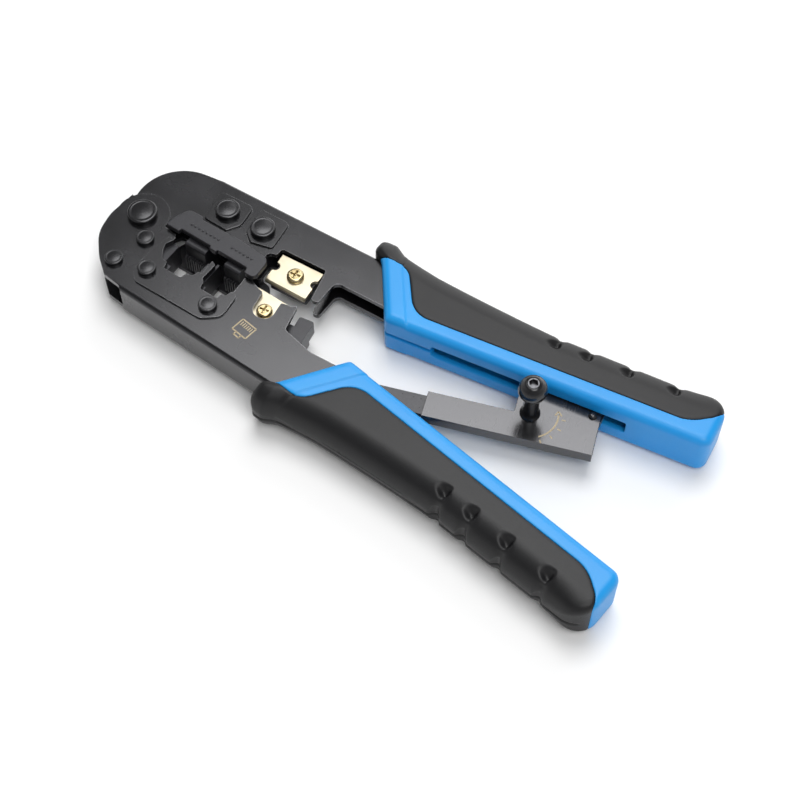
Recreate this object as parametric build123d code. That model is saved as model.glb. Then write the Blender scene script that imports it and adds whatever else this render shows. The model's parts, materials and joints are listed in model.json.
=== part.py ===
from build123d import *
from math import cos, sin, radians

# Ratcheted crimping tool for modular plugs, with a cutter and a stripper.
# Millimetres.  The origin is on the main pivot's axis, at the surface the tool
# lies on.  +X runs along the upper handle, +Z is up, out of the tool's face.
# The two halves are mirror twins about the pivot, OPEN_ANGLE apart.

# ---------------------------------------------------------------- dimensions
OPEN_ANGLE = 17.5          # between the two handles, fully open
HANDLE_LENGTH = 198.0      # pivot to the handle's end
HANDLE_HEIGHT = 18.0       # also the height of the whole moulding
MID_Z = HANDLE_HEIGHT / 2
INNER_FACE = -4.6          # handle's inner face, across from the pivot line

SHEET = 1.6                # frame steel
UPPER_FRAME_DEPTH = 9.0    # the upper frame nests in the lower one
LOWER_FRAME_DEPTH = 12.4
PAD_RISE = 0.7             # pressed pads round the dies and the rivets
PLATE_GAP = 0.1            # between plates that slide over each other
EASE = 0.05                # running fit, radial

PIVOT_RADIUS = 3.0
PIVOT_HEAD_RADIUS = 4.95
PIVOT_HEAD_RISE = 2.2
RIVET_HEAD_RADIUS = 3.0    # small rivets through the lower frame
RIVET_SHANK_RADIUS = 1.6
RIVET_HEAD_RISE = 1.6
PUNCH_RIVET_HEAD_RADIUS = 4.15
PUNCH_RIVET_SHANK_RADIUS = 2.2
PUNCH_RIVET_HEAD_RISE = 2.0

DIE_TILT = -9.0            # the dies lie along the line midway between handles
CONTACT_PITCH = 1.02
PLUG_8P_WIDTH = 11.8
PLUG_6P_WIDTH = 9.8

BLADE_THICKNESS = 1.5
BLADE_SCREW_HEAD = 2.8     # radius
ANVIL_SCREW_HEAD = 2.6     # radius
SCREW_SHANK = 1.5          # radius

HOUSING_SHEET = 0.7
HOUSING_HEIGHT = 4.2
BAR_THICKNESS = 2.0
BAR_ANGLE = 10.1           # bar and housing against +X, at rest
BAR_HALF_WIDTH = 3.45
BAR_LENGTH = 74.0          # from its pivot
TOOTH_PITCH = 0.8
TOOTH_DEPTH = 0.8
BAR_PIVOT = (84.2, -28.8)
HOUSING_PIVOT = (160.8, -6.0)
RELEASE_AXIS = (143.1, -13.1)
HANDLE_SLOT = 5.0          # height of the slot in each handle's inner face

# ---------------------------------------------------------------- levels
UPPER_LOW = MID_Z - UPPER_FRAME_DEPTH / 2
UPPER_HIGH = MID_Z + UPPER_FRAME_DEPTH / 2
LOWER_LOW = MID_Z - LOWER_FRAME_DEPTH / 2
LOWER_HIGH = MID_Z + LOWER_FRAME_DEPTH / 2
UPPER_FLOOR = UPPER_LOW + SHEET
UPPER_CEILING = UPPER_HIGH - SHEET
LOWER_FLOOR = LOWER_LOW + SHEET
LOWER_CEILING = LOWER_HIGH - SHEET
PAD_HIGH = LOWER_HIGH + PAD_RISE
PAD_LOW = LOWER_LOW - PAD_RISE
HOUSING_LOW = MID_Z - HOUSING_HEIGHT / 2
HOUSING_HIGH = MID_Z + HOUSING_HEIGHT / 2
BAR_LOW = MID_Z - BAR_THICKNESS / 2
BAR_HIGH = MID_Z + BAR_THICKNESS / 2


# ---------------------------------------------------------------- helpers
def outline(*corners):
    """A closed outline from (x, y) or (x, y, corner radius) points."""
    points = [(c[0], c[1]) for c in corners]
    radii = [c[2] if len(c) > 2 else 0 for c in corners]
    return make_face(FilletPolyline(*points, radius=radii, close=True))


def slab(face, low, high):
    """A flat outline made solid between two levels."""
    return extrude(Pos(0, 0, low) * face, amount=high - low, dir=(0, 0, 1))


def disc(centre, radius, low, high):
    """An upright cylinder."""
    return slab(Pos(centre[0], centre[1]) * Circle(radius), low, high)


def block(x_low, x_high, y_low, y_high, low, high):
    """A box given by its limits."""
    size = (x_high - x_low, y_high - y_low, high - low)
    middle = ((x_low + x_high) / 2, (y_low + y_high) / 2, (low + high) / 2)
    return Pos(*middle) * Box(*size)


def rim_edges(solid, level):
    """The edges that lie flat at one level."""
    return [e for e in solid.edges() if abs(e.bounding_box().min.Z - level) < 1e-3
            and abs(e.bounding_box().max.Z - level) < 1e-3]


def mirrored(shape):
    """The lower half's copy of a shape made for the upper half."""
    return Rot(0, 0, -OPEN_ANGLE) * mirror(shape, about=Plane.XZ)


def save(shape, name):
    export_step(shape, "parts/" + name + ".step")


def rivet(centre, head_radius, shank_radius, low, high, rise):
    """A headed rivet whose heads sit outside the levels low and high."""
    body = disc(centre, shank_radius, low, high)
    body += disc(centre, head_radius, high, high + rise)
    body += disc(centre, head_radius, low - rise, low)
    rims = rim_edges(body, high + rise) + rim_edges(body, low - rise)
    return fillet(rims, rise * 0.35)


def die_point(along, across, radius=0):
    """A point given along and across the dies' line."""
    tilt = radians(DIE_TILT)
    x = along * cos(tilt) - across * sin(tilt)
    y = along * sin(tilt) + across * cos(tilt)
    return (x, y, radius)


def die_outline(*corners):
    """A closed outline given along and across the dies' line."""
    return outline(*[die_point(*corner) for corner in corners])


def die_block(along_low, along_high, across_low, across_high, low, high):
    """A box whose sides lie along and across the dies' line."""
    corners = [(along_low, across_low), (along_high, across_low)]
    corners += [(along_high, across_high), (along_low, across_high)]
    return slab(die_outline(*corners), low, high)


def bar_point(along, across, radius=0):
    """A point given along and across the ratchet bar, from the bar's pivot."""
    tilt = radians(BAR_ANGLE)
    x = BAR_PIVOT[0] + along * cos(tilt) - across * sin(tilt)
    y = BAR_PIVOT[1] + along * sin(tilt) + across * cos(tilt)
    return (x, y, radius)


def bar_outline(*corners):
    """A closed outline given along and across the ratchet bar."""
    return outline(*[bar_point(*corner) for corner in corners])


def lower_point(x, y, radius=0):
    """The lower half's twin of a point on the upper half."""
    turn = radians(OPEN_ANGLE)
    twin_x = x * cos(turn) - y * sin(turn)
    twin_y = -x * sin(turn) - y * cos(turn)
    return (twin_x, twin_y, radius)


# ---------------------------------------------------------------- frames
# Each frame is a folded channel: two plates joined by a web along the outer
# edge.  The channel runs on into its handle as a tang.
WEB_START = (16.6, 25.2)
WEB_BEND = (78.0, 18.0)
TANG_BEND = (95.0, 14.6)
TANG_END = (172.0, 8.0)
TANG_INNER = 1.0           # the tang's inner edge


def web(low, high):
    """The folded side wall along the outer edge, upper half's place."""
    strip = outline(
        WEB_START, WEB_BEND, TANG_BEND, TANG_END,
        (TANG_END[0], TANG_END[1] - SHEET),
        (TANG_BEND[0] - 0.3, TANG_BEND[1] - SHEET),
        (WEB_BEND[0] - 0.2, WEB_BEND[1] - SHEET),
        (WEB_START[0], WEB_START[1] - SHEET),
    )
    return slab(strip, low, high)


def fold_edges(solid, low, high, place=lambda x, y: (x, y, 0)):
    """The channel's two long outer edges, where the sheet is bent."""
    ends = [Vector(*place(*p)[:2]) for p in (WEB_START, WEB_BEND, TANG_BEND, TANG_END)]
    middles = [(a + b) * 0.5 for a, b in zip(ends, ends[1:])]
    found = []
    for level in (low, high):
        for middle in middles:
            spot = Vector(middle.X, middle.Y, level)
            found += [e for e in solid.edges() if (e @ 0.5 - spot).length < 0.6]
    return found


BLADE_CORNERS = [(47.5, 7.4), (63.0, 5.9), (62.0, -5.8), (46.8, -3.9)]
BLADE_SCREW = (55.4, 1.0)
ANVIL_SCREW = (53.5, -16.3)
PUNCH_RIVETS = [(24.0, 13.7), (38.0, 11.9)]
DIE_RIVETS = [(12.8, -19.1), (37.2, -23.2)]
LOBE_RIVETS = [(5.9, -8.4), (0.9, -19.7)]
LUG_RIVET = (165.6, 4.0)


def upper_plate():
    """The upper frame's plate: head, blade bay, tongue and tang."""
    face = outline(
        (-8.6, 24.9, 16.0), (14.8, 24.7, 1.0), WEB_START, WEB_BEND, TANG_BEND, TANG_END,
        (172.0, TANG_INNER), (95.0, TANG_INNER, 10), (80.0, 2.7, 6), (68.6, 3.9, 2.2),
        (66.9, -5.6, 1.1), (64.4, -5.9, 1.1), (63.7, 6.6, 1.0), (46.9, 8.3, 1.0),
        (46.4, 5.4, 0.6), (43.4, 5.2, 2.0), (43.2, -1.6, 1.2), (12.0, 3.2, 2.0),
        (6.0, -3.0, 1.0), (-6.0, -3.0, 1.0),
    )
    return face + Circle(7.4)


def upper_pads(low, high):
    """Two pressed pads under the punch rivets."""
    left = slab(outline((17.6, 20.6, 2), (30.8, 19.2, 2), (30.6, 10.6, 3),
                        (27.0, 6.6, 1), (17.6, 8.2, 2)), low, high)
    right = slab(outline((33.0, 19.6, 1.5), (44.6, 18.2, 2), (44.2, 6.6, 1.5),
                         (36.4, 5.8, 1), (33.2, 9.0, 1)), low, high)
    return left + right


def make_upper_frame():
    plate = upper_plate()
    body = slab(plate, UPPER_LOW, UPPER_FLOOR) + slab(plate, UPPER_CEILING, UPPER_HIGH)
    body += web(UPPER_LOW, UPPER_HIGH)
    body = fillet(fold_edges(body, UPPER_LOW, UPPER_HIGH), SHEET * 0.7)
    body += upper_pads(UPPER_HIGH, UPPER_HIGH + PAD_RISE)
    body += upper_pads(UPPER_LOW - PAD_RISE, UPPER_LOW)
    for spot in PUNCH_RIVETS:
        body -= disc(spot, PUNCH_RIVET_SHANK_RADIUS, -1, 30)
    body -= disc(LUG_RIVET, SCREW_SHANK, -1, 30)
    return body - disc((0, 0), PIVOT_RADIUS, -1, 30)


def lower_plate():
    """The lower frame's plate: lobe, die windows, anvil bay and tang."""
    face = outline(
        (-7.4, 6.0), (-9.9, -4.0, 16.0), (-9.5, -12.5, 14.0), (-4.2, -20.8, 22.0),
        (1.0, -26.2, 1.0), lower_point(15.5, 24.4, 2.0),
        lower_point(*WEB_START), lower_point(*WEB_BEND), lower_point(*TANG_BEND),
        lower_point(*TANG_END), lower_point(172.0, TANG_INNER),
        lower_point(104.0, -0.6, 10), lower_point(87.0, -0.8, 3),
        (74.0, -24.5, 6), (67.0, -21.9, 4), (63.0, -20.4, 1.2), (62.4, -10.6, 0.5),
        (60.8, -11.7, 0.8), (57.2, -11.8, 0.6), (57.0, -19.8, 3.3), (50.0, -19.8, 3.3),
        (49.9, -10.6, 0.6), (47.3, -9.6, 0.8), (44.8, -7.9, 0.8),
        die_point(43.0, -1.0, 0.6), die_point(43.4, -7.3, 0.4), die_point(42.5, -10.6, 0.4),
        die_point(41.2, -10.9, 0.3), die_point(40.7, -13.1, 0.6),
        die_point(34.1, -13.1, 0.6), die_point(33.6, -10.9, 0.3),
        die_point(32.3, -9.5, 0.3), die_point(32.4, -3.2, 0.3), die_point(30.6, -2.2, 0.3),
        die_point(30.9, -8.2, 0.3), die_point(29.6, -8.3, 0.2),
        die_point(28.95, -10.5, 0.3), die_point(26.9, -10.9, 0.3),
        die_point(26.3, -13.3, 0.6), die_point(19.5, -13.3, 0.6),
        die_point(18.9, -10.9, 0.3), die_point(16.6, -10.5, 0.3),
        die_point(14.8, -7.8, 0.3), die_point(13.9, -5.4, 0.3), die_point(15.1, -2.6, 0.3),
        (13.8, -2.6, 0.3), (7.2, -0.6), (0, 0),
    )
    return face + Circle(8.9)


def lower_pad(low, high):
    """The pressed pad round the two dies, with its windows."""
    pad = outline((8.6, -20.6, 2), (11.4, -24.6, 2), (37.0, -28.4, 3), (43.0, -25.0, 4),
                  (43.6, -16.0, 1.5), (40.0, -14.8, 0.6), (41.6, -6.4, 0.6), (12.4, -4.4, 1),
                  (9.6, -13.0, 3))
    return slab(pad & lower_plate(), low, high)


def make_lower_frame():
    plate = lower_plate()
    body = slab(plate, LOWER_LOW, LOWER_FLOOR) + slab(plate, LOWER_CEILING, LOWER_HIGH)
    body += mirrored(web(LOWER_LOW, LOWER_HIGH))
    body = fillet(fold_edges(body, LOWER_LOW, LOWER_HIGH, lower_point), SHEET * 0.9)
    body += lower_pad(LOWER_HIGH, PAD_HIGH) + lower_pad(PAD_LOW, LOWER_LOW)
    for spot in DIE_RIVETS + LOBE_RIVETS:
        body -= disc(spot, RIVET_SHANK_RADIUS, -1, 30)
    body -= disc(BAR_PIVOT, SCREW_SHANK, -1, 30)
    return body - disc((0, 0), PIVOT_RADIUS + EASE, -1, 30)


# ---------------------------------------------------------------- main pivot
PIVOT_HEAD_ROUND = 0.6
BUSH_RADIUS = 4.3
SPRING_RADIUS = 5.2
SPRING_WIRE = 0.5          # radius
SPRING_TURNS = 3.5
SPRING_PITCH = 1.25
SPRING_UPPER_LEG = 9.0
SPRING_LOWER_LEG = 4.8


def make_pivot_rivet():
    low = LOWER_LOW - EASE
    high = LOWER_HIGH + EASE
    body = disc((0, 0), PIVOT_RADIUS, low, high)
    body += disc((0, 0), PIVOT_HEAD_RADIUS, high, high + PIVOT_HEAD_RISE)
    body += disc((0, 0), PIVOT_HEAD_RADIUS, 0, low)
    return fillet(rim_edges(body, high + PIVOT_HEAD_RISE), PIVOT_HEAD_ROUND)


def make_pivot_bush():
    ring = Circle(BUSH_RADIUS) - Circle(PIVOT_RADIUS)
    return slab(ring, UPPER_FLOOR, UPPER_CEILING)


def make_return_spring():
    """A torsion spring round the bush, with one leg to each half."""
    rise = SPRING_TURNS * SPRING_PITCH
    low = MID_Z - rise / 2
    path = Helix(SPRING_PITCH, rise, SPRING_RADIUS, center=(0, 0, low))
    coil = sweep(Plane(path @ 0, z_dir=path % 0) * Circle(SPRING_WIRE), path)
    upper_leg = Rot(90, 0, 0) * Cylinder(SPRING_WIRE, SPRING_UPPER_LEG)
    upper_leg = Pos(-SPRING_RADIUS, SPRING_UPPER_LEG / 2, low + rise) * upper_leg
    lower_leg = Rot(90, 0, 0) * Cylinder(SPRING_WIRE, SPRING_LOWER_LEG)
    lower_leg = Pos(SPRING_RADIUS, -SPRING_LOWER_LEG / 2, low) * lower_leg
    return [coil, upper_leg, lower_leg]


# ---------------------------------------------------------------- dies
# Across the dies' line: the plug's body rests at SEAT, its latch in a channel.
SEAT_8P = -10.3
SEAT_6P = -10.6
LATCH_WIDTH = 6.3
LATCH_DEPTH = 2.6
CENTRE_8P = 22.9
CENTRE_6P = 37.4
DIE_SPLIT = 31.6           # where one die meets the next


def make_die(low, high, top, centre, width, seat):
    body = die_block(low, high, -21.0, top, LOWER_FLOOR, LOWER_CEILING)
    body -= die_block(centre - width / 2, centre + width / 2, seat, 5, 0, 20)
    half_latch = LATCH_WIDTH / 2
    body -= die_block(centre - half_latch, centre + half_latch, seat - LATCH_DEPTH, seat, 0, 20)
    for spot in DIE_RIVETS:
        body -= disc(spot, RIVET_SHANK_RADIUS, 0, 20)
    return body


def make_rivets(spots, head_radius, shank_radius, low, high, rise):
    heads = [rivet(spot, head_radius, shank_radius, low, high, rise) for spot in spots]
    return heads


def make_frame_spacers():
    """Sleeves that hold the lower frame's plates apart at the lobe."""
    sleeves = []
    for spot in LOBE_RIVETS:
        ring = Pos(*spot) * (Circle(2.6) - Circle(RIVET_SHANK_RADIUS))
        sleeves.append(slab(ring, LOWER_FLOOR, LOWER_CEILING))
    return sleeves


# ---------------------------------------------------------------- punches
PUNCH_ROOT = 4.8           # the upper frame's edge, across the dies' line
PUNCH_NOSE = -2.5
COMB_HIGH = 9.6            # the comb's top; the strain bar is over it
PUNCH_TOP = 15.2
PUNCH_BOTTOM = 2.9
STRAIN_NOSE = -1.4
STRAIN_ROUND = 1.0


def make_punch(centre, half_width, spot):
    """A punch block with the bar that grips the cable's jacket."""
    low = centre - half_width
    high = centre + half_width
    body = die_block(low - 1.0, high + 1.0, PUNCH_ROOT, 20.6, UPPER_FLOOR, UPPER_CEILING)
    bar = die_block(low, high, STRAIN_NOSE, PUNCH_ROOT, COMB_HIGH, PUNCH_TOP)
    nose = die_point(centre, STRAIN_NOSE)
    edge = [e for e in rim_edges(bar, PUNCH_TOP)
            if (e @ 0.5 - Vector(nose[0], nose[1], PUNCH_TOP)).length < 0.1]
    body += fillet(edge, STRAIN_ROUND)
    return body - disc(spot, PUNCH_RIVET_SHANK_RADIUS, 0, 20)


def make_comb(centre, contacts):
    """The toothed blade that drives the plug's contacts home."""
    half = contacts * CONTACT_PITCH / 2
    body = die_block(centre - half, centre + half, -1.2, PUNCH_ROOT, PUNCH_BOTTOM, COMB_HIGH)
    for number in range(contacts):
        middle = centre + (number - (contacts - 1) / 2) * CONTACT_PITCH
        body += die_block(middle - 0.3, middle + 0.3, PUNCH_NOSE, -1.2, PUNCH_BOTTOM, COMB_HIGH)
    return body


COVER_RISE = 1.8           # thickness of the raised cover over the punches
COVER_GAP = 0.1            # over the lower frame's pad


def cover_outline():
    return die_outline(
        (9.9, 0.0, 0.6), (10.6, 4.2, 3.0), (12.6, 9.1, 2.6), (18.4, 9.1, 1.0),
        (18.8, 8.0, 0.6), (34.6, 8.4, 3.0), (46.3, 7.4, 3.0), (46.8, -1.4, 2.0),
        (42.7, -1.3, 0.6), (42.2, 0.7, 0.5), (30.4, 0.9, 0.2), (30.2, 0.1, 0.2),
        (27.6, 0.1, 0.2), (27.4, 1.0, 0.2), (15.4, 1.2, 0.5), (15.2, 0.0, 0.4),
    )


def rear_cover_outline():
    """The rear cover has no windows, and it reaches down behind the combs."""
    return die_outline(
        (9.9, 0.0, 0.6), (10.6, 4.2, 3.0), (12.6, 9.1, 2.6), (34.6, 8.4, 3.0),
        (46.3, 7.4, 3.0), (46.8, -1.4, 2.0), (43.0, -2.7, 1.0), (12.6, -2.7, 1.0),
    )


def make_cover(face, near, far, foot):
    """The punches' cover between near and far, and its foot on the frame."""
    plate = slab(face, min(near, far), max(near, far))
    rim = rim_edges(plate, far)
    plate = fillet(rim, 0.35)
    foot_low = min(near, foot)
    foot_high = max(near, foot)
    return plate + die_block(14.0, 42.5, 5.3, 7.6, foot_low, foot_high)


# ---------------------------------------------------------------- cutter and stripper
def cross_screw(spot, head_radius, seat, rise, depth):
    """A pan-head screw with a cross recess."""
    head = disc(spot, head_radius, seat, seat + rise)
    head = fillet(rim_edges(head, seat + rise), rise * 0.55)
    head += disc(spot, SCREW_SHANK, seat - depth, seat)
    arm = head_radius * 0.62
    slot = 0.35
    deep = seat + rise * 0.35
    head -= block(spot[0] - arm, spot[0] + arm, spot[1] - slot, spot[1] + slot, deep, 30)
    head -= block(spot[0] - slot, spot[0] + slot, spot[1] - arm, spot[1] + arm, deep, 30)
    return head


ANVIL_LOW = LOWER_CEILING - BLADE_THICKNESS
BLADE_TOP = ANVIL_LOW - PLATE_GAP      # the blade shears just under the anvil
BLADE_LOW = BLADE_TOP - BLADE_THICKNESS
HOLDER_SCREW_DEPTH = 5.0


def make_cutter_blade():
    plate = slab(outline(*BLADE_CORNERS), BLADE_LOW, BLADE_TOP)
    plate -= disc((47.4, 2.2), 1.6, 0, 20)
    plate -= disc((62.6, 0.9), 1.6, 0, 20)
    edge = [e for e in plate.edges() if (e @ 0.5 - Vector(54.4, -4.85, BLADE_TOP)).length < 0.3]
    plate = chamfer(edge, 0.6)
    return plate - disc(BLADE_SCREW, SCREW_SHANK, 0, 20)


def make_blade_holder():
    body = slab(outline((48.2, 6.6, 0.6), (62.2, 5.3, 0.6), (61.4, -3.8, 0.6), (47.6, -2.4, 0.6)),
                UPPER_FLOOR, BLADE_LOW)
    return body - disc(BLADE_SCREW, SCREW_SHANK, BLADE_LOW - HOLDER_SCREW_DEPTH, 20)


def make_stripper_anvil():
    plate = slab(outline((46.6, -8.5), (59.6, -10.8), (60.8, -20.6), (48.2, -20.2)),
                 ANVIL_LOW, LOWER_CEILING)
    return plate - disc(ANVIL_SCREW, SCREW_SHANK, 0, 20)


def make_anvil_holder():
    body = slab(outline((48.2, -13.4, 0.6), (62.6, -16.0, 0.6), (68.8, -16.0), (68.8, -21.2, 1),
                        (48.4, -24.0, 1)), LOWER_FLOOR, ANVIL_LOW)
    body += slab(outline((63.6, -11.8, 0.8), (68.8, -11.8, 0.8), (68.8, -16.4), (63.6, -16.4)),
                 UPPER_FLOOR + 0.3, UPPER_CEILING - 0.3)
    return body - disc(ANVIL_SCREW, SCREW_SHANK, LOWER_CEILING - HOLDER_SCREW_DEPTH, 20)


# ---------------------------------------------------------------- handles
# Each handle is a hard core moulded on the tang, with a soft grip over its
# outer side.  Both are made in the upper half's place.
SHEATH_LOW = 1.5           # the core's inner wall over the tang
SHEATH_HIGH = HANDLE_HEIGHT - SHEATH_LOW
HANDLE_ROUND = 2.6
GRIP_GROOVES = (142.3, 152.8, 166.3, 181.6)
GROOVE_RADIUS = 2.4
GROOVE_DEPTH = 1.0
GRIP_SIDE = 14.9           # the grip's outer side at the grooves
SLIT = 1.2                 # the thin parting slit ahead of the slot
UPPER_SLOT_START = 106.0
LOWER_SLOT_START = 84.0
SLOT_END = 171.0
LIP = 2.2                  # the slot's wall; behind it the core is hollow
POCKET_START = 98.0
POCKET_WIDER = 3.0         # the hollow's reach above and below the slot


def handle_solid():
    face = outline(
        (89.8, INNER_FACE, 1.5), (78.8, 16.2), (75.0, 18.8, 2.0), (75.2, 26.2, 3.0),
        (80.4, 26.0, 3.0), (84.4, 23.2, 6), (98.0, 20.2, 40), (118.0, 17.7, 60),
        (139.0, 15.4, 60), (HANDLE_LENGTH, 14.4, 8.0), (HANDLE_LENGTH - 1.0, INNER_FACE, 3.5),
    )
    body = slab(face, 0, HANDLE_HEIGHT)
    return fillet(rim_edges(body, 0) + rim_edges(body, HANDLE_HEIGHT), HANDLE_ROUND)


def grip_region(low, high):
    """Everything on the grip's side of its border with the core."""
    face = outline(
        (70.0, 17.4), (88.2, 16.5, 7), (97.2, 0.9, 9), (188.0, 0.9, 12),
        (196.4, 6.6, 8), (198.6, 17.0), (198.6, 40.0), (70.0, 40.0),
    )
    return slab(face, low, high)


def sheath():
    """The core's wall round the tang, under the grip."""
    face = outline((84.0, 6.0), (84.0, 18.2), (95.4, 15.8), (174.0, 9.4, 2), (174.0, 0.0), (100.0, 0.0))
    return slab(face, SHEATH_LOW, SHEATH_HIGH)


def handle_slot(start):
    """The slot in the inner face that lets the ratchet's parts in."""
    half = HANDLE_SLOT / 2
    wide = HANDLE_SLOT / 2 + POCKET_WIDER
    cut = block(start, SLOT_END, INNER_FACE - 1, 2.0, MID_Z - half, MID_Z + half)
    cut += block(max(start, POCKET_START), SLOT_END, INNER_FACE + LIP, 2.0, MID_Z - wide, MID_Z + wide)
    return cut + block(78.0, start, INNER_FACE - 1, -1.2, MID_Z - SLIT / 2, MID_Z + SLIT / 2)


def make_core(slot_start):
    whole = handle_solid()
    region = grip_region(-1, 25)
    body = (whole - region) + (sheath() & whole)
    return body - handle_slot(slot_start)


def make_grip():
    whole = handle_solid()
    body = (whole & grip_region(-1, 25)) - sheath()
    for x in GRIP_GROOVES:
        body -= disc((x, GRIP_SIDE + GROOVE_RADIUS - GROOVE_DEPTH), GROOVE_RADIUS, -1, 25)
    return body


# ---------------------------------------------------------------- ratchet
CREST = 1.6                # tooth crests, across the bar
TEETH = 4
TOOTH_START = 56.6
HOUSING_START = 28.9
HOUSING_WIDE = 56.0
HOUSING_END = 82.0
HOUSING_HALF_WIDTH = 4.5
LUG_RADIUS = 3.0
LUG_HALF = 1.1             # half the tongue's thickness
PAWL_HALF = 1.2            # half the pawl's thickness
SHAFT_RADIUS = 1.5
LUG_PIN_RADIUS = 1.2
SPRING_POST = (71.4, 9.6)  # along and across the bar
POST_RADIUS = 0.6
DOME_RADIUS = 1.35         # the housing rivet's domed head
DOME_RISE = 1.1
FLAT_RISE = 0.6


def make_ratchet_bar():
    """A flat bar: a plain shank, then a narrow run with ratchet teeth."""
    points = [(0, -BAR_HALF_WIDTH), (BAR_LENGTH, -BAR_HALF_WIDTH, 1), (BAR_LENGTH, CREST, 1)]
    rest_notch = TOOTH_START + TEETH * TOOTH_PITCH
    points += [(rest_notch + 3.4, CREST, 0.3), (rest_notch + 3.0, CREST - TOOTH_DEPTH, 0.3)]
    points += [(rest_notch, CREST - TOOTH_DEPTH)]
    for number in range(TEETH, 0, -1):
        foot = TOOTH_START + number * TOOTH_PITCH
        points += [(foot, CREST), (foot - TOOTH_PITCH, CREST - TOOTH_DEPTH)]
    points += [(51.0, CREST - TOOTH_DEPTH, 0.3), (50.6, CREST, 0.3)]
    points += [(47.0, CREST, 1), (46.0, BAR_HALF_WIDTH, 1), (0, BAR_HALF_WIDTH)]
    face = bar_outline(*points) + Pos(*BAR_PIVOT) * Circle(BAR_HALF_WIDTH)
    bar = slab(face, BAR_LOW, BAR_HIGH)
    return bar - disc(BAR_PIVOT, SCREW_SHANK + EASE, 0, 20)


def make_ratchet_housing():
    """A folded sheet: two plates, a full wall below, a short wall above."""
    half = HOUSING_HALF_WIDTH
    plate = bar_outline((HOUSING_START, -half), (HOUSING_END, -half, 0.5), (HOUSING_END, 12.2, 1.5),
                        (58.0, 17.3, 2), (HOUSING_WIDE, 16.6, 1), (HOUSING_WIDE, half, 0.6),
                        (HOUSING_START, half))
    low_top = HOUSING_LOW + HOUSING_SHEET
    high_low = HOUSING_HIGH - HOUSING_SHEET
    body = slab(plate, HOUSING_LOW, low_top) + slab(plate, high_low, HOUSING_HIGH)
    wall = bar_outline((HOUSING_START, -half), (HOUSING_END, -half),
                       (HOUSING_END, -half + HOUSING_SHEET), (HOUSING_START, -half + HOUSING_SHEET))
    body += slab(wall, HOUSING_LOW, HOUSING_HIGH)
    short = bar_outline((HOUSING_START, half - HOUSING_SHEET), (54.0, half - HOUSING_SHEET),
                        (54.0, half), (HOUSING_START, half))
    body += slab(short, HOUSING_LOW, HOUSING_HIGH)
    body -= disc(HOUSING_PIVOT, LUG_PIN_RADIUS + EASE, 0, 20)
    return body - disc(RELEASE_AXIS, SHAFT_RADIUS + EASE, 0, 20)


def make_spring_post():
    spot = bar_point(*SPRING_POST)[:2]
    return disc(spot, POST_RADIUS, HOUSING_LOW + HOUSING_SHEET, HOUSING_HIGH - HOUSING_SHEET)


def make_pawl_spring():
    """A small extension spring from the pawl's arm to its post."""
    path = Helix(0.75, 6.0, 0.75)
    coil = sweep(Plane(path @ 0, z_dir=path % 0) * Circle(0.16), path)
    start = bar_point(64.2, 9.6)
    return Pos(start[0], start[1], MID_Z) * Rot(0, 0, BAR_ANGLE) * Rot(0, 90, 0) * coil


def make_ratchet_lug():
    """The tongue that carries the housing, held inside the tang."""
    foot = slab(outline((156.0, 1.4), (169.0, 1.4), (169.0, 6.2), (156.0, 6.4)),
                UPPER_FLOOR, UPPER_CEILING)
    x, y = HOUSING_PIVOT
    tongue = outline((x - LUG_RADIUS, y), (x + LUG_RADIUS, y),
                     (x + LUG_RADIUS, 2.0), (x - LUG_RADIUS, 2.0))
    tongue = tongue + Pos(x, y) * Circle(LUG_RADIUS)
    body = foot + slab(tongue, MID_Z - LUG_HALF, MID_Z + LUG_HALF)
    body -= disc(HOUSING_PIVOT, LUG_PIN_RADIUS, 0, 20)
    return body - disc(LUG_RIVET, SCREW_SHANK, 0, 20)


def make_ratchet_pivot_rivet():
    high = HOUSING_HIGH + EASE
    low = HOUSING_LOW - EASE
    body = disc(HOUSING_PIVOT, LUG_PIN_RADIUS, low, high)
    dome = disc(HOUSING_PIVOT, DOME_RADIUS, high, high + DOME_RISE)
    dome = fillet(rim_edges(dome, high + DOME_RISE), DOME_RISE * 0.9)
    return body + dome + disc(HOUSING_PIVOT, DOME_RADIUS, low - FLAT_RISE, low)


def make_pawl():
    """Hub, tip over the teeth, and the arm that the spring pulls."""
    tip = bar_outline((59.2, 4.4), (60.2, 2.1, 0.2), (61.3, 2.1, 0.2), (62.4, 4.6))
    arm = bar_outline((59.9, 5.1), (62.0, 5.1), (64.0, 10.4, 0.8), (62.4, 10.6, 0.8))
    hub = Pos(*RELEASE_AXIS) * Circle(2.1)
    body = slab(hub + tip + arm, MID_Z - PAWL_HALF, MID_Z + PAWL_HALF)
    return body - disc(RELEASE_AXIS, SHAFT_RADIUS, 0, 20)


KNOB_BASE = HOUSING_HIGH + 0.1
KNOB_TOP = 28.0
KNOB_NECK_TOP = 20.4
SHAFT_TOP = 19.0
SCREW_SEAT = 25.8


def make_release_shaft():
    body = disc(RELEASE_AXIS, SHAFT_RADIUS, HOUSING_LOW - 0.1, SHAFT_TOP)
    return body + disc(RELEASE_AXIS, 2.3, HOUSING_LOW - 0.9, HOUSING_LOW - 0.1)


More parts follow.
